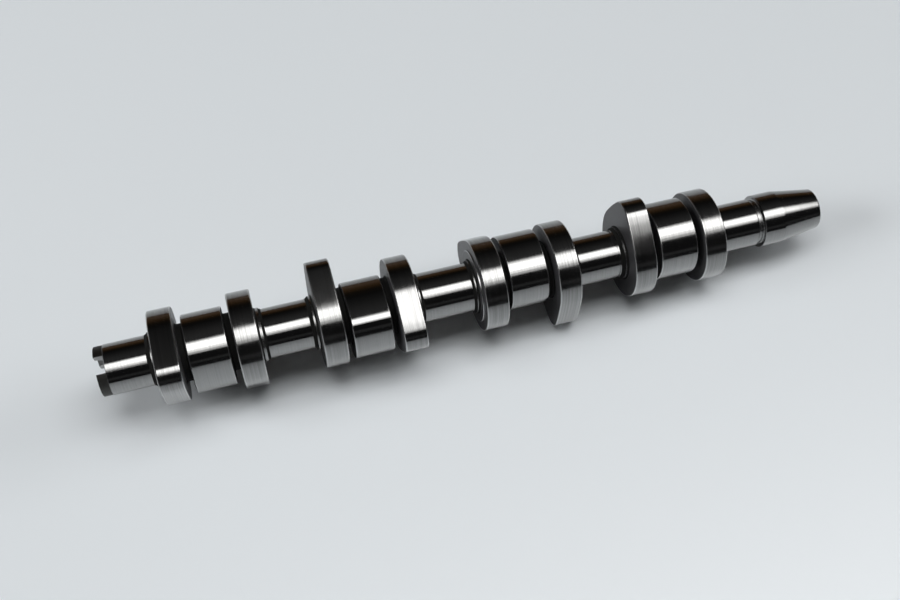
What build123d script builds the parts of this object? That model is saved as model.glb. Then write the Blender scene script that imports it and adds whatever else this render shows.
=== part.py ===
from build123d import *
import math
import os

# Overhead camshaft of a four-cylinder two-valve diesel engine with a third,
# wide lobe per cylinder that works the injector rocker.  One iron casting,
# turned and ground.  Millimetres, axis along X, nose (taper) end at +X,
# origin on the axis at the middle of the centre bearing journal, +Z up as
# the shaft lies at rest.

# ---------------------------------------------------------------- driving
bore_pitch = 88.0          # cylinder spacing
group_shift = 1.85         # each lobe group sits this far outboard of its bore
valve_offset = 21.4        # valve lobe centre from the injector lobe centre
valve_width = 13.1
injector_width = 22.3

journal_r = 14.0
collar_r = 15.1            # low collar between a journal and the next lobe
collar_width = 2.3
collar_fillet = 0.85       # collar to lobe side
ramp_run = 2.0             # concave ground ramp from journal up to collar
neck_r = 16.0              # neck between a valve lobe and the injector lobe
neck_fillet = 0.9
boss_r = 20.7              # thrust boss, front side of the centre bearing
boss_height = 0.8
boss_edge = 0.25

rear_end_x = -193.1        # slotted end face
rear_ground_x = -188.0     # where the ground journal starts
spigot_r = 13.7            # unground stub that carries the drive slot
spigot_chamfer = 0.6
slot_width = 9.6
slot_floor_x = -188.0
rear_bore_r = 5.4
rear_bore_depth = 17.0
rear_mouth_r = 8.2         # countersink of the rear bore at the end face

front_ground_x = 188.4     # end of the front journal
groove_r = 13.1            # run-out groove between journal and seal land
seal_x0 = 191.7
seal_x1 = 204.3
seal_r = 15.5
nose_x = 228.9             # end face of the taper
nose_r = 11.75             # taper radius at the end face, before the chamfer
nose_chamfer = 0.7
thread_r = 5.1             # tapping hole for an M12 hub bolt
thread_depth = 30.0
thread_mouth_r = 6.6       # countersink at the nose face

valve_base_r = 26.3
edge_chamfer = 0.7         # lobe edges

# Angles about X, right-hand rule, measured from +Z (so +90 is -Y).
index_angle = 229.2        # exhaust nose of cylinder 1 as the shaft lies
intake_lag = 112.0         # intake nose after the exhaust nose
injector_lag = 81.6        # injector reference after the exhaust nose
slot_lag = 144.1           # drive slot after the exhaust nose
fire = {1: 0.0, 3: 90.0, 4: 180.0, 2: 270.0}   # firing order 1-3-4-2

# Valve lobe: second derivative of lift against cam angle, in mm per rad^2,
# constant over the nose and one spike on each flank.
nose_accel = 22.2
nose_half = 41.4           # end of the nose
flank_peak = 51.6
lobe_half = 56.0           # end of the flank, start of the base circle

# Injector lobe: support radius as a short harmonic series of cam angle.
injector_series = [21.594, 1.863, 3.298, 0.491, 0.544, 0.399, -0.039,
                   0.276, -0.059, 0.030, -0.208, 0.020, -0.083]


# ---------------------------------------------------------------- profiles
def lift_table(n=1218):
    """Lift and its slope at equal steps from the nose to the base circle."""
    step = math.radians(lobe_half) / n
    a1, a2, a3 = nose_half, flank_peak, lobe_half

    def neg(a):
        if a <= a1:
            return -nose_accel
        return -nose_accel * (a2 - a) / (a2 - a1) if a < a2 else 0.0

    def pos(a):
        if a <= a1:
            return 0.0
        return (a - a1) / (a2 - a1) if a < a2 else (a3 - a) / (a3 - a2)

    angles = [i * lobe_half / n for i in range(n + 1)]
    sn = sum(neg(a) for a in angles) - 0.5 * (neg(angles[0]) + neg(angles[-1]))
    sp = sum(pos(a) for a in angles) - 0.5 * (pos(angles[0]) + pos(angles[-1]))
    gain = -sn / sp
    acc = [neg(a) + gain * pos(a) for a in angles]
    vel = [0.0]
    for i in range(n):
        vel.append(vel[-1] + 0.5 * (acc[i] + acc[i + 1]) * step)
    lift = [0.0]
    for i in range(n):
        lift.append(lift[-1] + 0.5 * (vel[i] + vel[i + 1]) * step)
    end = lift[-1]
    return [v - end for v in lift], vel


LIFT, VEL = lift_table()


def valve_support(a):
    """Support radius and slope of the valve lobe, a in degrees from the nose."""
    a = (a + 180.0) % 360.0 - 180.0
    b = abs(a)
    if b >= lobe_half:
        return valve_base_r, 0.0
    t = b / lobe_half * (len(LIFT) - 1)
    i = min(int(t), len(LIFT) - 2)
    f = t - i
    h = LIFT[i] * (1 - f) + LIFT[i + 1] * f
    v = VEL[i] * (1 - f) + VEL[i + 1] * f
    return valve_base_r + h, v if a > 0 else -v


def injector_support(a):
    r = math.radians(a)
    h = injector_series[0]
    s = 0.0
    for k in range(1, 7):
        c, d = injector_series[2 * k - 1], injector_series[2 * k]
        h += c * math.cos(k * r) + d * math.sin(k * r)
        s += -k * c * math.sin(k * r) + k * d * math.cos(k * r)
    return h, s


def outline_point(support, a, turn, inset=0.0):
    """Point of the outline whose normal is a degrees past the reference,
    in (y, z), with the reference at turn degrees from +Z towards -Y.
    inset moves the outline inwards by that much everywhere."""
    h, s = support(a)
    h -= inset
    t = math.radians(a + turn + 90.0)
    return (h * math.cos(t) - s * math.sin(t), h * math.sin(t) + s * math.cos(t))


def valve_outline(turn, inset):
    """Closed spline, denser over the nose and flanks than round the base."""
    lifted = [-lobe_half + 2 * lobe_half * i / 48 for i in range(48)]
    rest = [lobe_half + (360.0 - 2 * lobe_half) * i / 60 for i in range(60)]
    return Spline(*[outline_point(valve_support, q, turn, inset) for q in lifted + rest], periodic=True)


def injector_outline(turn, inset):
    return Spline(*[outline_point(injector_support, 5.0 * i, turn, inset) for i in range(72)], periodic=True)


def solid_of(shape):
    found = shape.solids()
    if len(found) != 1:
        raise ValueError("expected one solid, found %d" % len(found))
    return found[0]


def lobe(outline, turn, x, width):
    """Disc cam between x and x + width, with its two edges chamfered."""
    sections = []
    for at, inset in ((x, edge_chamfer), (x + edge_chamfer, 0.0),
                      (x + width - edge_chamfer, 0.0), (x + width, edge_chamfer)):
        face = make_face([outline(turn, inset)])
        sections.append(Plane(origin=(at, 0, 0), x_dir=(0, 1, 0), z_dir=(1, 0, 0)) * face)
    return solid_of(loft(sections, ruled=True))


# ---------------------------------------------------------------- stations
centre = {4: -(1.5 * bore_pitch + group_shift), 3: -(0.5 * bore_pitch + group_shift),
          2: 0.5 * bore_pitch + group_shift, 1: 1.5 * bore_pitch + group_shift}
# exhaust lobe is outboard on the rear pair and outboard on the front pair
exhaust_side = {4: -1, 3: -1, 2: 1, 1: 1}

half_group = valve_offset + valve_width / 2
neck_in = injector_width / 2
neck_out = valve_offset - valve_width / 2


def core_points():
    """Upper outline of everything that is turned: (x, r, fillet)."""
    pts = [(rear_end_x, 0.0, 0), (rear_end_x, spigot_r - spigot_chamfer, 0),
           (rear_end_x + spigot_chamfer, spigot_r, 0), (rear_ground_x, spigot_r, 0),
           (rear_ground_x + (journal_r - spigot_r), journal_r, 0)]
    order = [4, 3, 2, 1]
    for i, cyl in enumerate(order):
        c = centre[cyl]
        left, right = c - half_group, c + half_group
        pts += [(left - collar_width, journal_r, 0),
                (left - collar_width, collar_r, 0),
                (left, collar_r, 0),
                (left + 2.0, collar_r, 0), (left + 2.0, neck_r, 0),
                (right - 2.0, neck_r, 0), (right - 2.0, collar_r, 0),
                (right, collar_r, 0),
                (right + collar_width, collar_r, 0),
                (right + collar_width, journal_r, 0)]
    pts += [(front_ground_x - 0.3, journal_r, 0), (front_ground_x, journal_r - 0.3, 0),
            (front_ground_x + 0.2, groove_r, 0.35), (seal_x0, groove_r, 0.7),
            (seal_x0, seal_r - 0.3, 0), (seal_x0 + 0.3, seal_r, 0), (seal_x1, seal_r, 0),
            (nose_x - nose_chamfer, nose_r + nose_chamfer * (seal_r - nose_r) / (nose_x - seal_x1), 0),
            (nose_x, nose_r - nose_chamfer * 0.8, 0), (nose_x, 0.0, 0)]
    return pts


def fillet_ring(x, r, size, side):
    """Concave ring that fills the corner between a cylinder of radius r and a
    side face at x.  side is +1 where the cylinder runs towards +X from x."""
    a = (x, r - 0.4)
    b = (x + side * size, r - 0.4)
    b2 = (x + side * size, r)
    m = (x + side * size * (1 - math.cos(math.pi / 4)), r + size * (1 - math.sin(math.pi / 4)))
    t = (x, r + size)
    back = (x - side * 0.5, r + size)
    back2 = (x - side * 0.5, r - 0.4)
    face = make_face([Line(back2, b), Line(b, b2), ThreePointArc(b2, m, t), Line(t, back), Line(back, back2)])
    return solid_of(revolve(face, Axis.X, 360))


def ramp_ring(x, side):
    """Concave arc, tangent to the journal, that rises to the collar at x.
    side is +1 where the journal runs towards +X from x."""
    rise = collar_r - journal_r
    radius = (ramp_run ** 2 + rise ** 2) / (2 * rise)
    half = math.asin(ramp_run / radius) / 2
    a = (x + side * ramp_run, journal_r)
    m = (x + side * (ramp_run - radius * math.sin(half)), journal_r + radius * (1 - math.cos(half)))
    b = (x, collar_r)
    back = (x - side * 0.5, collar_r)
    low = (x - side * 0.5, journal_r - 0.4)
    low2 = (x + side * ramp_run, journal_r - 0.4)
    face = make_face([Line(low, low2), Line(low2, a), ThreePointArc(a, m, b), Line(b, back), Line(back, low)])
    return solid_of(revolve(face, Axis.X, 360))


# ---------------------------------------------------------------- core
spec = core_points()
core_face = make_face(Polyline(*[(x, r) for x, r, f in spec], close=True))
for size in sorted({f for x, r, f in spec if f}):
    picks = [v for v in core_face.vertices()
             if any(f == size and abs(v.X - x) < 1e-4 and abs(v.Y - r) < 1e-4 for x, r, f in spec)]
    core_face = fillet(picks, size)
core = solid_of(revolve(core_face, Axis.X, 360))

# ---------------------------------------------------------------- lobes
adds = []
for cyl, c in centre.items():
    turn = index_angle + fire[cyl]
    side = exhaust_side[cyl]
    for offset, phase in ((side * valve_offset, 0.0), (-side * valve_offset, intake_lag)):
        adds.append(lobe(valve_outline, turn + phase, c + offset - valve_width / 2, valve_width))
    adds.append(lobe(injector_outline, turn + injector_lag, c - injector_width / 2, injector_width))
    for s in (-1, 1):
        adds.append(fillet_ring(c + s * neck_in, neck_r, neck_fillet, s))
        adds.append(fillet_ring(c + s * neck_out, neck_r, neck_fillet, -s))
        bossed = (cyl, s) == (2, -1)
        adds.append(fillet_ring(c + s * (half_group + (boss_height if bossed else 0.0)), collar_r, collar_fillet, s))
        adds.append(ramp_ring(c + s * (half_group + collar_width), s))

boss_x = centre[2] - half_group
boss_face = make_face(Polyline(
    (boss_x + 1.0, neck_r - 3), (boss_x - boss_height, neck_r - 3), (boss_x - boss_height, boss_r - boss_edge),
    (boss_x - boss_height + boss_edge, boss_r), (boss_x + 1.0, boss_r), close=True))
adds.insert(0, solid_of(revolve(boss_face, Axis.X, 360)))

shaft = core
for piece in adds:
    shaft = shaft + piece
shaft = solid_of(shaft)

# ---------------------------------------------------------------- cuts
slot_turn = index_angle + slot_lag
slot = Box(20.0, slot_width, 60.0)                      # X, across, along
slot = Rotation(slot_turn, 0, 0) * slot
slot = Pos(slot_floor_x - 10.0, 0, 0) * slot
shaft = shaft - slot

mouth = rear_mouth_r - rear_bore_r
rear_bore = make_face(Polyline(
    (rear_end_x - 1, 0), (rear_end_x - 1, rear_mouth_r + 0.577), (rear_end_x, rear_mouth_r),
    (rear_end_x + mouth * 1.732, rear_bore_r), (rear_end_x + rear_bore_depth, rear_bore_r),
    (rear_end_x + rear_bore_depth + rear_bore_r * 0.577, 0), close=True))
shaft = shaft - solid_of(revolve(rear_bore, Axis.X, 360))

nose_bore = make_face(Polyline(
    (nose_x + 1, 0), (nose_x + 1, thread_mouth_r + 0.577), (nose_x, thread_mouth_r),
    (nose_x - (thread_mouth_r - thread_r) * 1.732, thread_r), (nose_x - thread_depth, thread_r),
    (nose_x - thread_depth - thread_r * 0.577, 0), close=True))
shaft = shaft - solid_of(revolve(nose_bore, Axis.X, 360))
shaft = solid_of(shaft)
shaft.label = "camshaft"

os.makedirs("parts", exist_ok=True)
export_step(shaft, "parts/camshaft.step")
box = shaft.bounding_box()
print("volume mm3 %.0f" % shaft.volume, "valid", shaft.is_valid)
print("box", box.min, box.max)
print("valve lift %.3f" % LIFT[0])
print("centre of mass", shaft.center(CenterOf.MASS))
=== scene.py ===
import bpy
import math
import numpy as np
from mathutils import Matrix, Vector


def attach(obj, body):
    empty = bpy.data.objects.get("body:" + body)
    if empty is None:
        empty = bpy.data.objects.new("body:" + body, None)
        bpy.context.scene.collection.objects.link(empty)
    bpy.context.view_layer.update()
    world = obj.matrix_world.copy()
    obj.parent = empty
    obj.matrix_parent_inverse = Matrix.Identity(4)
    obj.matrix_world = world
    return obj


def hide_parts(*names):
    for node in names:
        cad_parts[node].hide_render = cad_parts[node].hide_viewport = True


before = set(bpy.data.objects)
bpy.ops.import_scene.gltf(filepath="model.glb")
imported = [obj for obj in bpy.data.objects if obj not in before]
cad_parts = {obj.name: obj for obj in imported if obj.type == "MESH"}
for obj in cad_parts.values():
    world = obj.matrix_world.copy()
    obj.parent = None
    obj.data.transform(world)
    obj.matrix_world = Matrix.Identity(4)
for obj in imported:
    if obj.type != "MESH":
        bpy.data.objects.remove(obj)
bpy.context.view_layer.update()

# Camshaft: one turned and ground iron piece along X, nose at +X.
# Lengths below are millimetres, as in the solid; the mesh is built in metres.
MM = 0.001
N = 208                       # points round every ring

bore_pitch, group_shift = 88.0, 1.85
valve_offset, valve_width, injector_width = 21.4, 13.1, 22.3
journal_r, collar_r, collar_width, collar_fillet, ramp_run = 14.0, 15.1, 2.3, 0.85, 2.0
neck_r, neck_fillet = 16.0, 0.9
boss_r, boss_height, boss_edge = 20.7, 0.8, 0.25
rear_end_x, rear_ground_x, spigot_r, spigot_chamfer = -193.1, -188.0, 13.7, 0.6
slot_width, slot_floor_x = 9.6, -188.0
rear_bore_r, rear_bore_depth, rear_mouth_r = 5.4, 17.0, 8.2
front_ground_x, groove_r, seal_x0, seal_x1, seal_r = 188.4, 13.1, 191.7, 204.3, 15.5
nose_x, nose_r, nose_chamfer = 228.9, 11.75, 0.7
thread_r, thread_depth, thread_mouth_r = 5.1, 30.0, 6.6
thread_out_r, thread_pitch, thread_len = 6.0, 1.75, 25.0
valve_base_r = 26.3
edge_round = 0.837            # its middle touches the 0.7 mm chamfer of the solid
tuck = 0.004                  # lobe outlines stay this far inside the solid's

index_angle, intake_lag, injector_lag, slot_lag = 229.2, 112.0, 81.6, 144.1
fire = {1: 0.0, 3: 90.0, 4: 180.0, 2: 270.0}
nose_accel, nose_half, flank_peak, lobe_half = 22.2, 41.4, 51.6, 56.0
injector_series = [21.594, 1.863, 3.298, 0.491, 0.544, 0.399, -0.039,
                   0.276, -0.059, 0.030, -0.208, 0.020, -0.083]

THETA = (np.arange(N) + 0.5) * 2 * np.pi / N     # from +Y towards +Z


# ------------------------------------------------------------------ profiles
def valve_profile():
    """Support radius and its slope at fine steps of the normal angle."""
    q = np.linspace(0.0, lobe_half, 1201)
    step = math.radians(lobe_half) / 1200
    neg = np.where(q <= nose_half, -nose_accel,
                   np.where(q < flank_peak, -nose_accel * (flank_peak - q) / (flank_peak - nose_half), 0.0))
    pos = np.where(q <= nose_half, 0.0,
                   np.where(q < flank_peak, (q - nose_half) / (flank_peak - nose_half),
                            (lobe_half - q) / (lobe_half - flank_peak)))
    whole = lambda y: y.sum() - 0.5 * (y[0] + y[-1])
    acc = neg - whole(neg) / whole(pos) * pos
    mid = 0.5 * (acc[1:] + acc[:-1]) * step
    vel = np.concatenate([[0.0], np.cumsum(mid)])
    lift = np.concatenate([[0.0], np.cumsum(0.5 * (vel[1:] + vel[:-1]) * step)])
    return q, lift - lift[-1], vel


Q, LIFT, VEL = valve_profile()


def valve_support(a):
    a = (a + 180.0) % 360.0 - 180.0
    b = np.abs(a)
    return valve_base_r + np.interp(b, Q, LIFT, right=0.0), np.sign(a) * np.interp(b, Q, VEL, right=0.0)


def injector_support(a):
    r = np.radians(a)
    h = np.full_like(r, injector_series[0])
    s = np.zeros_like(r)
    for k in range(1, 7):
        c, d = injector_series[2 * k - 1], injector_series[2 * k]
        h += c * np.cos(k * r) + d * np.sin(k * r)
        s += -k * c * np.sin(k * r) + k * d * np.cos(k * r)
    return h, s


def outline(support, turn, inset):
    """Outline, inset everywhere by that much, as a radius at each THETA."""
    a = np.linspace(0.0, 360.0, 4320, endpoint=False)
    h, s = support(a)
    h = h - inset - tuck
    t = np.radians(a + turn + 90.0)
    y, z = h * np.cos(t) - s * np.sin(t), h * np.sin(t) + s * np.cos(t)
    psi, r = np.arctan2(z, y) % (2 * np.pi), np.hypot(y, z)
    order = np.argsort(psi)
    return np.interp(THETA, psi[order], r[order], period=2 * np.pi)


# ------------------------------------------------------------------ the loft
GROUND, LOBE, SIDE, STUB, HOLE, NECK_SHADE, COLLAR, SLOT, EDGE_GLINT = range(9)
rings, finish_of = [], []


def ring(x, r, finish):
    """Adds a ring; finish is that of the strip that leads to it."""
    rings.append((x, np.full(N, float(r)) if np.isscalar(r) else r))
    finish_of.append(finish)


def arc(x0, r0, x1, r1, cx, cr, finish, steps):
    """Rings along a circular arc about (cx, cr), the first point left out."""
    a0, a1 = math.atan2(r0 - cr, x0 - cx), math.atan2(r1 - cr, x1 - cx)
    if a1 - a0 > math.pi:
        a1 -= 2 * math.pi
    if a0 - a1 > math.pi:
        a1 += 2 * math.pi
    size = math.hypot(x0 - cx, r0 - cr)
    for i in range(1, steps + 1):
        a = a0 + (a1 - a0) * i / steps
        ring(cx + size * math.cos(a), cr + size * math.sin(a), finish)


def disc(support, turn, x, width, finish):
    """Cam disc from its left face to its right face, edges rounded over."""
    steps = 5
    # the part of each rounding nearest the outline, at both faces, takes the brighter edge finish: painted highlight
    # lines along the edges
    for i in range(steps + 1):
        a = math.pi / 2 * i / steps
        ring(x + edge_round * (1 - math.cos(a)), outline(support, turn, edge_round * (1 - math.sin(a))),
             EDGE_GLINT if i > 2 else SIDE)
    for part in (0.34, 0.66):
        ring(x + width * part, outline(support, turn, 0.0), finish)
    for i in range(steps + 1):
        a = math.pi / 2 * (1 - i / steps)
        ring(x + width - edge_round * (1 - math.cos(a)), outline(support, turn, edge_round * (1 - math.sin(a))),
             EDGE_GLINT if i in (1, 2) else SIDE if i > 3 else finish)


centre = {4: -(1.5 * bore_pitch + group_shift), 3: -(0.5 * bore_pitch + group_shift),
          2: 0.5 * bore_pitch + group_shift, 1: 1.5 * bore_pitch + group_shift}
exhaust_side = {4: -1, 3: -1, 2: 1, 1: 1}
half_group = valve_offset + valve_width / 2
rise = collar_r - journal_r
ramp_size = (ramp_run ** 2 + rise ** 2) / (2 * rise)


def ramp(x0, x1, low_x):
    """Concave ramp between journal and collar; ground finish near the journal only, the rest near black as painted
    shade.
    """
    rows = []
    for i in range(9):
        x = x0 + (x1 - x0) * i / 8
        rows.append((x, journal_r + ramp_size - math.sqrt(ramp_size ** 2 - (x - low_x) ** 2)))
    for (xa, ra), (xb, rb) in zip(rows, rows[1:]):
        near = abs((xa + xb) / 2 - low_x) < 0.55
        ring(xb, rb, GROUND if near else NECK_SHADE)


# rear bore, from its bottom out to the end face
ring(rear_end_x + rear_bore_depth, rear_bore_r, HOLE)
ring(rear_end_x + 9.0, rear_bore_r, HOLE)
ring(rear_end_x + (rear_mouth_r - rear_bore_r) * 1.732, rear_bore_r, HOLE)
ring(rear_end_x, rear_mouth_r, HOLE)
ring(rear_end_x, spigot_r - spigot_chamfer, STUB)
arc(rear_end_x, spigot_r - spigot_chamfer, rear_end_x + spigot_chamfer, spigot_r,
    rear_end_x + spigot_chamfer, spigot_r - spigot_chamfer, STUB, 4)
ring(rear_end_x + 3.0, spigot_r, STUB)
ring(rear_ground_x, spigot_r, STUB)
ring(rear_ground_x + 0.3, journal_r, GROUND)

for cyl in (4, 3, 2, 1):
    c, side = centre[cyl], exhaust_side[cyl]
    turn = index_angle + fire[cyl]
    left, right = c - half_group, c + half_group
    # journal up the concave ramp to the collar, then the fillet to the lobe side;
    # the ground finish ends a little way up the ramp, the rest of the ramp, the collar foot and the fillet are near
    # black as painted shade
    x0 = left - collar_width - ramp_run
    ring(x0, journal_r, GROUND)
    ramp(x0, x0 + ramp_run, x0)
    foot = left - (boss_height if cyl == 2 else 0.0)
    if cyl != 2:
        ring(left - collar_width + 0.55, collar_r, NECK_SHADE)
    ring(foot - collar_fillet, collar_r, COLLAR)
    arc(foot - collar_fillet, collar_r, foot, collar_r + collar_fillet,
        foot - collar_fillet, collar_r + collar_fillet, NECK_SHADE, 6)
    if cyl == 2:
        ring(foot, boss_r - boss_edge, SIDE)
        # boss edge in the brighter edge finish: a painted highlight line
        arc(foot, boss_r - boss_edge, foot + boss_edge, boss_r, foot + boss_edge, boss_r - boss_edge, EDGE_GLINT, 3)
        ring(left, boss_r, EDGE_GLINT)
    lag_left, lag_right = (0.0, intake_lag) if side < 0 else (intake_lag, 0.0)
    spans = [(left, valve_width, valve_support, turn + lag_left, LOBE),
             (c - injector_width / 2, injector_width, injector_support, turn + injector_lag, GROUND),
             (right - valve_width, valve_width, valve_support, turn + lag_right, LOBE)]
    for i, (x, width, support, at, finish) in enumerate(spans):
        disc(support, at, x, width, finish)
        if i < 2:
            a, b = x + width, spans[i + 1][0]
            # fillets and neck between the discs take the near-black finish: painted shade in the gap
            ring(a, neck_r + neck_fillet, SIDE)
            arc(a, neck_r + neck_fillet, a + neck_fillet, neck_r, a + neck_fillet, neck_r + neck_fillet, NECK_SHADE, 6)
            ring(b - neck_fillet, neck_r, NECK_SHADE)
            arc(b - neck_fillet, neck_r, b, neck_r + neck_fillet, b - neck_fillet, neck_r + neck_fillet, NECK_SHADE, 6)
    ring(right, collar_r + collar_fillet, SIDE)
    arc(right, collar_r + collar_fillet, right + collar_fillet, collar_r,
        right + collar_fillet, collar_r + collar_fillet, NECK_SHADE, 6)
    ring(right + collar_width, collar_r, COLLAR)
    x1 = right + collar_width + ramp_run
    ramp(right + collar_width, x1, x1)
    ring(x1 + 0.4, journal_r, GROUND)

# front journal, run-out groove, seal land, taper
ring(front_ground_x - 0.3, journal_r, GROUND)
ring(front_ground_x, journal_r - 0.3, GROUND)
# groove flanks take the near-black finish: painted shade in the groove
ring(front_ground_x + 0.15, groove_r + 0.35, NECK_SHADE)
arc(front_ground_x + 0.15, groove_r + 0.35, front_ground_x + 0.5, groove_r,
    front_ground_x + 0.5, groove_r + 0.35, NECK_SHADE, 4)
ring(seal_x0 - 0.7, groove_r, COLLAR)
arc(seal_x0 - 0.7, groove_r, seal_x0, groove_r + 0.7, seal_x0 - 0.7, groove_r + 0.7, COLLAR, 6)
ring(seal_x0, seal_r - 0.3, COLLAR)
arc(seal_x0, seal_r - 0.3, seal_x0 + 0.3, seal_r, seal_x0 + 0.3, seal_r - 0.3, GROUND, 3)
ring(seal_x1 - 0.25, seal_r, GROUND)
slope = (seal_r - nose_r) / (nose_x - seal_x1)
ring(seal_x1 + 0.25, seal_r - 0.25 * slope, GROUND)
end_r = nose_r + nose_chamfer * slope
ring(nose_x - nose_chamfer - 0.1, end_r, GROUND)
for i in range(1, 5):
    a = math.pi / 2 * i / 4
    ring(nose_x - nose_chamfer * (1 - math.sin(a)), end_r - nose_chamfer * (1 - math.cos(a)), GROUND)
ring(nose_x, thread_mouth_r, SIDE)
# nose hole: the wall stands at the thread's outside radius, the thread is its own mesh
ring(nose_x - (thread_mouth_r - thread_out_r) * 1.732 - 0.02, thread_out_r + 0.12, HOLE)
ring(nose_x - thread_len - 1.5, thread_out_r + 0.12, HOLE)
ring(nose_x - thread_len - 2.2, thread_r, HOLE)
ring(nose_x - thread_depth, thread_r, HOLE)


def mesh_object(name, verts, faces, indices):
    mesh = bpy.data.meshes.new(name)
    mesh.from_pydata(verts, [], faces)
    mesh.polygons.foreach_set("material_index", indices)
    mesh.update()
    made = bpy.data.objects.new(name, mesh)
    bpy.context.scene.collection.objects.link(made)
    return made


def loft():
    verts, faces, indices = [], [], []
    cos, sin = np.cos(THETA), np.sin(THETA)
    for x, r in rings:
        verts.extend(zip([x * MM] * N, (r * cos * MM).tolist(), (r * sin * MM).tolist()))
    rear_pole = len(verts)
    verts.append(((rear_end_x + rear_bore_depth + rear_bore_r * 0.577) * MM, 0.0, 0.0))
    nose_pole = len(verts)
    verts.append(((nose_x - thread_depth - thread_r * 0.577) * MM, 0.0, 0.0))
    for k in range(N):
        faces.append((rear_pole, (k + 1) % N, k))
        indices.append(HOLE)
    for i in range(len(rings) - 1):
        a, b = i * N, (i + 1) * N
        for k in range(N):
            n = (k + 1) % N
            faces.append((a + k, a + n, b + n, b + k))
        indices.extend([finish_of[i + 1]] * N)
    last = (len(rings) - 1) * N
    for k in range(N):
        faces.append((last + k, last + (k + 1) % N, nose_pole))
        indices.append(HOLE)
    return mesh_object("camshaft_ground", verts, faces, indices)


shaft = loft()
# the cut below keeps the faces' finishes only if the mesh already has its slots
for i in range(9):
    shaft.data.materials.append(bpy.data.materials.new("blank_%d" % i))


# ------------------------------------------------------------------ the slot
def block(name, lo, hi, turn):
    """A box cutter turned about X."""
    corners = [(x, y, z) for x in (lo[0], hi[0]) for y in (lo[1], hi[1]) for z in (lo[2], hi[2])]
    faces = [(0, 1, 3, 2), (4, 6, 7, 5), (0, 4, 5, 1), (2, 3, 7, 6), (0, 2, 6, 4), (1, 5, 7, 3)]
    made = mesh_object(name, [tuple(v * MM for v in p) for p in corners], faces, [0] * 6)
    made.data.transform(Matrix.Rotation(math.radians(turn), 4, "X"))
    return made


slot_turn = index_angle + slot_lag
cutter = block("slot_cutter", (slot_floor_x - 20, -slot_width / 2, -30), (slot_floor_x, slot_width / 2, 30), slot_turn)
cut = shaft.modifiers.new("slot", "BOOLEAN")
cut.operation, cut.object, cut.solver = "DIFFERENCE", cutter, "EXACT"
bpy.context.view_layer.update()
cut_mesh = bpy.data.meshes.new_from_object(shaft.evaluated_get(bpy.context.evaluated_depsgraph_get()))
shaft.modifiers.clear()
old = shaft.data
shaft.data = cut_mesh
bpy.data.meshes.remove(old)
bpy.data.objects.remove(cutter)

# faces of the slot are milled bright
across = Vector((0.0, math.cos(math.radians(slot_turn)), math.sin(math.radians(slot_turn))))
for p in shaft.data.polygons:
    m = p.center
    if m.x < (slot_floor_x + 0.01) * MM and abs(m.dot(across)) < (slot_width / 2 + 0.01) * MM:
        p.material_index = SLOT


def smooth(made, angle):
    made.data.polygons.foreach_set("use_smooth", [True] * len(made.data.polygons))
    made.data.set_sharp_from_angle(angle=math.radians(angle))
    w = made.modifiers.new("weighted", "WEIGHTED_NORMAL")
    w.keep_sharp, w.weight = True, 80


smooth(shaft, 27)


# ------------------------------------------------------------------ the thread
def thread():
    """Right-hand internal thread as a closed sleeve set into the nose hole."""
    n, per = 72, 8
    turns = thread_len / thread_pitch
    count = int(round(turns * per)) + 1
    verts, faces = [], []
    x_out = nose_x - (thread_mouth_r - thread_r) * 1.732 * 0.55

    def radius(x, k):
        u = ((x_out - x) / thread_pitch + k / n) % 1.0
        flank = min(abs(u - 0.5) * 2.0, 1.0)
        r = thread_r + (thread_out_r - thread_r) * min(max((0.93 - flank) / 0.8, 0.0), 1.0)
        deep = (x - (nose_x - thread_len)) / 2.0
        r = thread_r + (r - thread_r) * min(max(deep, 0.0), 1.0)
        mouth = thread_mouth_r - (nose_x - x) / 1.732
        return min(max(r, mouth), thread_out_r + 0.05)

    for i in range(count):
        x = x_out - i * thread_len / (count - 1) * 0.985
        for k in range(n):
            a = -2 * math.pi * k / n
            r = radius(x, k)
            verts.append((x * MM, r * math.cos(a) * MM, r * math.sin(a) * MM))
    for x in (x_out - thread_len * 0.985, x_out):
        for k in range(n):
            a = -2 * math.pi * k / n
            r = thread_out_r + 0.3
            verts.append((x * MM, r * math.cos(a) * MM, r * math.sin(a) * MM))
    total = count + 2
    for i in range(total):
        a, b = i * n, ((i + 1) % total) * n
        for k in range(n):
            m = (k + 1) % n
            faces.append((a + k, b + k, b + m, a + m))
    made = mesh_object("nose_thread", verts, faces, [0] * len(faces))
    made.data.validate()
    return made


sleeve = thread()
smooth(sleeve, 35)


# ------------------------------------------------------------------ materials
def material(name):
    m = bpy.data.materials.new(name)
    m.use_nodes = True
    nodes, links = m.node_tree.nodes, m.node_tree.links
    nodes.clear()
    out = nodes.new("ShaderNodeOutputMaterial")
    shader = nodes.new("ShaderNodeBsdfPrincipled")
    links.new(shader.outputs["BSDF"], out.inputs["Surface"])
    return m, nodes, links, shader


def noise(nodes, links, place, scale, stretch, detail, rough=0.55):
    """Noise on the object's own coordinates; stretch scales X, Y and Z."""
    mapping = nodes.new("ShaderNodeMapping")
    mapping.inputs["Scale"].default_value = stretch
    links.new(place, mapping.inputs["Vector"])
    tex = nodes.new("ShaderNodeTexNoise")
    tex.inputs["Scale"].default_value = scale
    tex.inputs["Detail"].default_value = detail
    tex.inputs["Roughness"].default_value = rough
    links.new(mapping.outputs["Vector"], tex.inputs["Vector"])
    return tex.outputs["Fac"]


def ranged(nodes, links, value, a, b, c, d):
    """Maps value from a..b to c..d, clamped."""
    r = nodes.new("ShaderNodeMapRange")
    for key, v in zip(("From Min", "From Max", "To Min", "To Max"), (a, b, c, d)):
        r.inputs[key].default_value = v
    links.new(value, r.inputs["Value"])
    return r.outputs["Result"]


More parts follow.
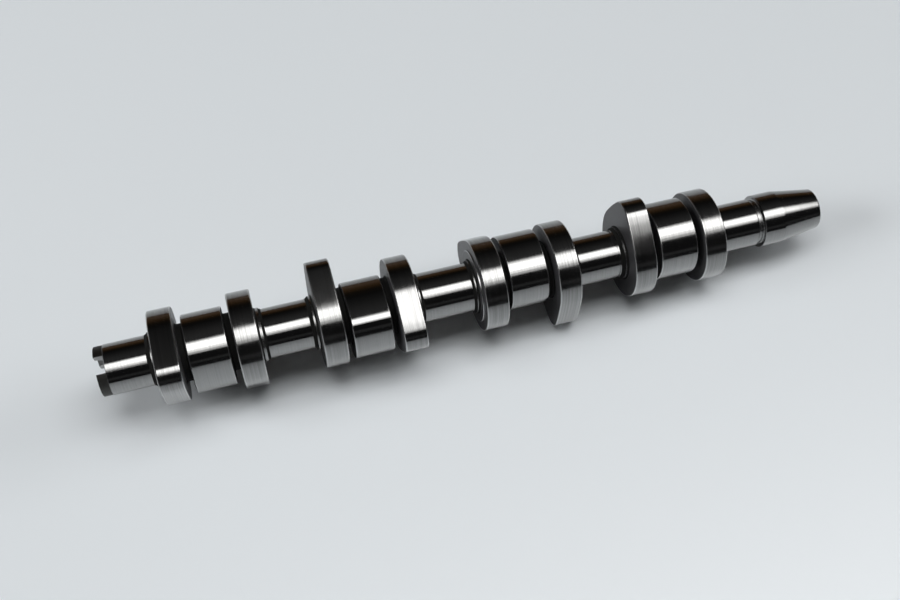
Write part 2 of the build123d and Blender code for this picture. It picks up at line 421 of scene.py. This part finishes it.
def blend(nodes, links, value, low, high):
    mix = nodes.new("ShaderNodeMix")
    mix.data_type = "RGBA"
    mix.inputs["A"].default_value = (*low, 1)
    mix.inputs["B"].default_value = (*high, 1)
    links.new(value, mix.inputs["Factor"])
    return mix.outputs["Result"]


def bump(nodes, links, shader, height, strength, depth, chain=None):
    b = nodes.new("ShaderNodeBump")
    b.inputs["Strength"].default_value = strength
    b.inputs["Distance"].default_value = depth
    links.new(height, b.inputs["Height"])
    if chain:
        links.new(chain, b.inputs["Normal"])
    links.new(b.outputs["Normal"], shader.inputs["Normal"])
    return b.outputs["Normal"]


def ground_steel(name, rough_lo, rough_hi, low, high, line_bump, aniso):
    """Ground surface: fine lines run round the shaft, so they vary along X."""
    m, nodes, links, shader = material(name)
    place = nodes.new("ShaderNodeTexCoord").outputs["Object"]
    shader.inputs["Metallic"].default_value = 1.0
    shader.inputs["Anisotropic"].default_value = aniso
    shader.inputs["Anisotropic Rotation"].default_value = 0.25
    tangent = nodes.new("ShaderNodeTangent")
    tangent.direction_type, tangent.axis = "RADIAL", "X"
    links.new(tangent.outputs["Tangent"], shader.inputs["Tangent"])
    fine = noise(nodes, links, place, 1.0, (2600.0, 14.0, 14.0), 5.0, 0.6)
    band = noise(nodes, links, place, 1.0, (1100.0, 9.0, 9.0), 3.0)
    cloud = noise(nodes, links, place, 90.0, (1.0, 1.0, 1.0), 4.0)
    mixed = nodes.new("ShaderNodeMath")
    mixed.operation = "MULTIPLY_ADD"
    mixed.inputs[1].default_value = 0.65
    links.new(fine, mixed.inputs[0])
    links.new(ranged(nodes, links, cloud, 0.3, 0.7, 0.0, 0.35), mixed.inputs[2])
    links.new(ranged(nodes, links, mixed.outputs["Value"], 0.2, 0.8, rough_lo, rough_hi), shader.inputs["Roughness"])
    links.new(blend(nodes, links, ranged(nodes, links, band, 0.34, 0.66, 0.0, 1.0), low, high), shader.inputs["Base Color"])
    first = bump(nodes, links, shader, fine, line_bump, 0.00002)
    bump(nodes, links, shader, band, line_bump * 0.6, 0.00004, first)
    return m


def turned_steel(name, rough_lo, rough_hi, low, high, grain, lines, metal, specular):
    """Turned face: rings of tool marks about the axis over a fine grain."""
    m, nodes, links, shader = material(name)
    place = nodes.new("ShaderNodeTexCoord").outputs["Object"]
    shader.inputs["Metallic"].default_value = metal
    shader.inputs["Specular IOR Level"].default_value = specular
    split = nodes.new("ShaderNodeSeparateXYZ")
    links.new(place, split.inputs[0])
    flat = nodes.new("ShaderNodeCombineXYZ")
    links.new(split.outputs["Y"], flat.inputs["Y"])
    links.new(split.outputs["Z"], flat.inputs["Z"])
    reach = nodes.new("ShaderNodeVectorMath")
    reach.operation = "LENGTH"
    links.new(flat.outputs["Vector"], reach.inputs[0])
    ringed = nodes.new("ShaderNodeCombineXYZ")
    links.new(reach.outputs["Value"], ringed.inputs["X"])
    links.new(split.outputs["X"], ringed.inputs["Y"])
    marks = noise(nodes, links, ringed.outputs["Vector"], 1.0, (2200.0, 900.0, 1.0), 4.0, 0.6)
    grains = noise(nodes, links, place, 1500.0, (1.0, 1.0, 1.0), 3.0, 0.6)
    cloud = noise(nodes, links, place, 110.0, (1.0, 1.0, 1.0), 5.0)
    links.new(ranged(nodes, links, grains, 0.25, 0.75, rough_lo, rough_hi), shader.inputs["Roughness"])
    mixed = nodes.new("ShaderNodeMath")
    mixed.operation = "MULTIPLY_ADD"
    mixed.inputs[1].default_value = 0.6
    links.new(grains, mixed.inputs[0])
    links.new(ranged(nodes, links, cloud, 0.3, 0.7, 0.0, 0.4), mixed.inputs[2])
    links.new(blend(nodes, links, mixed.outputs["Value"], low, high), shader.inputs["Base Color"])
    first = bump(nodes, links, shader, marks, lines, 0.00005)
    bump(nodes, links, shader, grains, grain, 0.00006, first)
    return m


mat_ground = ground_steel("ground_journal", 0.10, 0.17, (0.28, 0.28, 0.278), (0.325, 0.325, 0.322), 0.09, 0.6)
mat_lobe = ground_steel("ground_lobe", 0.12, 0.23, (0.24, 0.24, 0.238), (0.335, 0.335, 0.332), 0.22, 0.6)
mat_side = turned_steel("turned_side", 0.36, 0.48, (0.022, 0.022, 0.024), (0.048, 0.047, 0.050), 0.34, 0.26, 0.0, 0.62)
mat_stub = turned_steel("stub_dark", 0.45, 0.60, (0.045, 0.044, 0.041), (0.085, 0.083, 0.079), 0.45, 0.25, 1.0, 0.5)
mat_hole = turned_steel("hole_dark", 0.36, 0.50, (0.10, 0.10, 0.097), (0.18, 0.177, 0.173), 0.25, 0.40, 1.0, 0.5)
# near-black, almost unreflecting finish on the necks, fillets, ramps and groove flanks: painted shade in the gaps
# between the lobes and beside the collars, laid over the dark unground skin of the necks
mat_neck_shade = turned_steel("neck_black_painted_shade", 0.62, 0.78, (0.008, 0.008, 0.008), (0.017, 0.017, 0.016), 0.50, 0.35, 0.0, 0.06)
mat_collar = turned_steel("turned_collar", 0.20, 0.30, (0.26, 0.26, 0.26), (0.36, 0.36, 0.357), 0.15, 0.25, 1.0, 0.5)
mat_slot = turned_steel("milled_slot", 0.24, 0.36, (0.28, 0.28, 0.28), (0.38, 0.38, 0.375), 0.20, 0.15, 1.0, 0.5)
# edge roundings in brighter metal than the faces beside them: painted highlight lines along the lobe and boss edges
mat_edge_glint = turned_steel("edge_painted_glint", 0.18, 0.28, (0.42, 0.42, 0.418), (0.56, 0.56, 0.557), 0.10, 0.10, 1.0, 0.5)

for i, m in enumerate((mat_ground, mat_lobe, mat_side, mat_stub, mat_hole, mat_neck_shade, mat_collar, mat_slot, mat_edge_glint)):
    blank = shaft.data.materials[i]
    shaft.data.materials[i] = m
    bpy.data.materials.remove(blank)
sleeve.data.materials.append(mat_hole)
counts = np.bincount([p.material_index for p in shaft.data.polygons], minlength=9)
print("faces of each finish", counts.tolist())

for made in (shaft, sleeve):
    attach(made, "root")
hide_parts("camshaft")


# ------------------------------------------------------------------ the floor
def resting_plane():
    """Plane under the shaft that touches the three lobes it lies on: height
    at the origin and slopes along X and Y."""
    groups = {"in4": (-119.0, -105.9), "ex2": (60.7, 73.8), "ex1": (148.7, 161.8)}
    clouds = []
    for lo, hi in groups.values():
        clouds.append(np.vstack([np.column_stack([np.full(N, x), r * np.cos(THETA), r * np.sin(THETA)])
                                 for x, r in rings if lo - 0.01 < x < hi + 0.01]))
    a = b = 0.0
    for _ in range(40):
        touch = [c[np.argmin(c[:, 2] - a * c[:, 0] - b * c[:, 1])] for c in clouds]
        p = np.array([[1.0, t[0], t[1]] for t in touch])
        z0, a, b = np.linalg.solve(p, np.array([t[2] for t in touch]))
    return z0, a, b


z0, slope_x, slope_y = resting_plane()
up = Vector((-slope_x, -slope_y, 1.0)).normalized()
print("floor at", round(z0, 3), "slopes", round(slope_x, 5), round(slope_y, 5))

half = 3.0
plane = mesh_object("floor", [(-half, -half, 0), (half, -half, 0), (half, half, 0), (-half, half, 0)], [(0, 1, 2, 3)], [0])
plane.rotation_mode = "QUATERNION"
plane.rotation_quaternion = Vector((0, 0, 1)).rotation_difference(up)
plane.location = (0, 0, (z0 - 0.02) * MM)

m, nodes, links, shader = material("pale_floor")
place = nodes.new("ShaderNodeTexCoord").outputs["Object"]
links.new(blend(nodes, links, noise(nodes, links, place, 2.2, (1.0, 1.0, 1.0), 3.0),
                (0.805, 0.845, 0.872), (0.825, 0.86, 0.885)), shader.inputs["Base Color"])
shader.inputs["Roughness"].default_value = 0.45
shader.inputs["IOR"].default_value = 1.5
shader.inputs["Coat Weight"].default_value = 1.0
shader.inputs["Coat IOR"].default_value = 1.5
shader.inputs["Coat Roughness"].default_value = 0.32
plane.data.materials.append(m)


# ------------------------------------------------------------------ the camera
# Vectors in the camera's rolled frame: along the shaft, down, away.
theta, psi, phi_up = math.radians(9.719), math.radians(-0.084), math.radians(62.2)
X_w = Vector((math.cos(theta) * math.cos(psi), math.sin(psi), math.sin(theta) * math.cos(psi)))
up_c = Vector((0.0, -1.0, 0.0))
U = (up_c - X_w * up_c.dot(X_w)).normalized()
V = X_w.cross(U)
Z_w = U * math.cos(phi_up) + V * math.sin(phi_up)
Y_w = Z_w.cross(X_w)
to_world = Matrix((X_w, Y_w, Z_w))
origin = Vector((-2.522, -4.801, 650.474))
right_c, down_c = Vector((0.97466, 0.22367, 0.0)), Vector((-0.22367, 0.97466, 0.0))

camera_data = bpy.data.cameras.new("camera")
camera_data.sensor_width, camera_data.lens = 36.0, 45.95
camera_data.clip_start, camera_data.clip_end = 0.01, 50.0
camera = bpy.data.objects.new("camera", camera_data)
bpy.context.scene.collection.objects.link(camera)
right_w, up_w, back_w = to_world @ right_c, -(to_world @ down_c), -(to_world @ Vector((0, 0, 1)))
spot = -(to_world @ origin) * MM
camera.matrix_world = Matrix(((right_w.x, up_w.x, back_w.x, spot.x),
                              (right_w.y, up_w.y, back_w.y, spot.y),
                              (right_w.z, up_w.z, back_w.z, spot.z),
                              (0, 0, 0, 1)))
bpy.context.scene.camera = camera


# ------------------------------------------------------------------ the light
def softbox(name, place, aim, size_x, size_y, power, colour, spin=0.0):
    data = bpy.data.lights.new(name, "AREA")
    data.shape, data.size, data.size_y = "RECTANGLE", size_x, size_y
    data.energy, data.color = power, colour
    made = bpy.data.objects.new(name, data)
    bpy.context.scene.collection.objects.link(made)
    back = (Vector(place) - Vector(aim)).normalized()
    along = Vector((1, 0, 0)) - back * back.x
    along.normalize()
    along = Matrix.Rotation(spin, 3, back) @ along
    other = back.cross(along)
    made.matrix_world = Matrix(((along.x, other.x, back.x, place[0]), (along.y, other.y, back.y, place[1]),
                                (along.z, other.z, back.z, place[2]), (0, 0, 0, 1)))
    made.visible_camera = False
    return made


# One long softbox overhead, a little to the front, that the metal mirrors;
# brighter along its middle: three panels one over the other.
for name, lean, width, radiance, spin in (("softbox_core", 10.6, 1.02, 1.45, 8.0),
                                          ("softbox_middle", 12.2, 1.56, 1.40, 9.5),
                                          ("softbox_rim", 13.9, 2.12, 1.05, 11.0)):
    a = math.radians(lean)
    box = softbox(name, (1.28, -3.0 * math.sin(a), 3.0 * math.cos(a)), (1.28, 0.0, 0.0),
                  4.05, width, radiance * math.pi * 4.05 * width, (1.0, 0.995, 0.985), math.radians(spin))
    box.visible_diffuse = False

# The floor is lit from overhead and a little behind, so that the shadow
# falls in front of the shaft.
a = math.radians(-6.0)
box = softbox("overhead", (0.48, -3.0 * math.sin(a), 3.0 * math.cos(a)), (0.48, 0.0, 0.0),
              3.7, 1.22, 3.85 * math.pi * 3.7 * 1.22, (0.99, 0.997, 1.0))
box.visible_glossy = False

# Low lights beyond both ends reach under the ends of the shaft.
for name, x, power in (("rear_end", -2.5, 40.0), ("nose_end", 2.6, 21.0)):
    box = softbox(name, (x, 0.1, 1.25), (0.0, 0.0, 0.0), 1.2, 1.2, power, (0.99, 0.997, 1.0))
    box.visible_glossy = False

world = bpy.data.worlds.new("room")
bpy.context.scene.world = world
world.use_nodes = True
nodes, links = world.node_tree.nodes, world.node_tree.links
nodes.clear()
out = nodes.new("ShaderNodeOutputWorld")
back_node = nodes.new("ShaderNodeBackground")
links.new(back_node.outputs["Background"], out.inputs["Surface"])
direction = nodes.new("ShaderNodeTexCoord").outputs["Generated"]
split = nodes.new("ShaderNodeSeparateXYZ")
links.new(direction, split.inputs[0])


def calc(operation, a, b=None):
    node = nodes.new("ShaderNodeMath")
    node.operation = operation
    for i, v in enumerate((a, b)):
        if isinstance(v, float):
            node.inputs[i].default_value = v
        elif v is not None:
            links.new(v, node.inputs[i])
    return node.outputs["Value"]


# The room is dark; a warm brown wall stands low at the back, and there is a
# dim pale patch low at the rear end of the shaft.
reach = calc("SQRT", calc("ADD", calc("MULTIPLY", split.outputs["Y"], split.outputs["Y"]),
                          calc("MULTIPLY", split.outputs["Z"], split.outputs["Z"])))
rise_of = calc("DIVIDE", split.outputs["Z"], calc("MAXIMUM", reach, 0.001))
wall = nodes.new("ShaderNodeValToRGB")
links.new(rise_of, wall.inputs["Fac"])
stops = [(0.0, (0.105, 0.068, 0.044)), (0.14, (0.11, 0.070, 0.045)), (0.31, (0.057, 0.031, 0.0135)),
         (0.47, (0.013, 0.010, 0.007)), (0.62, (0.009, 0.009, 0.009)), (0.80, (0.022, 0.022, 0.022)),
         (1.0, (0.05, 0.05, 0.05))]
while len(wall.color_ramp.elements) < len(stops):
    wall.color_ramp.elements.new(0.5)
for element, (at, colour) in zip(wall.color_ramp.elements, stops):
    element.position, element.color = at, (*colour, 1)
behind = nodes.new("ShaderNodeMix")
behind.data_type = "RGBA"
behind.inputs["A"].default_value = (0.0045, 0.0045, 0.0048, 1)
links.new(ranged(nodes, links, split.outputs["Y"], 0.0, 0.2, 0.0, 1.0), behind.inputs["Factor"])
links.new(wall.outputs["Color"], behind.inputs["B"])
stripe = calc("MULTIPLY", ranged(nodes, links, rise_of, 0.19, 0.24, 0.0, 1.0),
              ranged(nodes, links, rise_of, 0.34, 0.40, 1.0, 0.0))
before = nodes.new("ShaderNodeMix")
before.data_type = "RGBA"
links.new(stripe, before.inputs["Factor"])
before.inputs["A"].default_value = (0.012, 0.012, 0.0125, 1)
before.inputs["B"].default_value = (0.045, 0.045, 0.046, 1)
links.new(before.outputs["Result"], behind.inputs["A"])
patch = calc("MULTIPLY", ranged(nodes, links, split.outputs["X"], -0.80, -0.55, 1.0, 0.0),
             ranged(nodes, links, split.outputs["Z"], 0.22, 0.34, 1.0, 0.0))
beside = nodes.new("ShaderNodeMix")
beside.data_type = "RGBA"
links.new(patch, beside.inputs["Factor"])
links.new(behind.outputs["Result"], beside.inputs["A"])
beside.inputs["B"].default_value = (0.34, 0.34, 0.345, 1)
links.new(beside.outputs["Result"], back_node.inputs["Color"])
back_node.inputs["Strength"].default_value = 1.0

bpy.context.scene.view_settings.view_transform = "Standard"
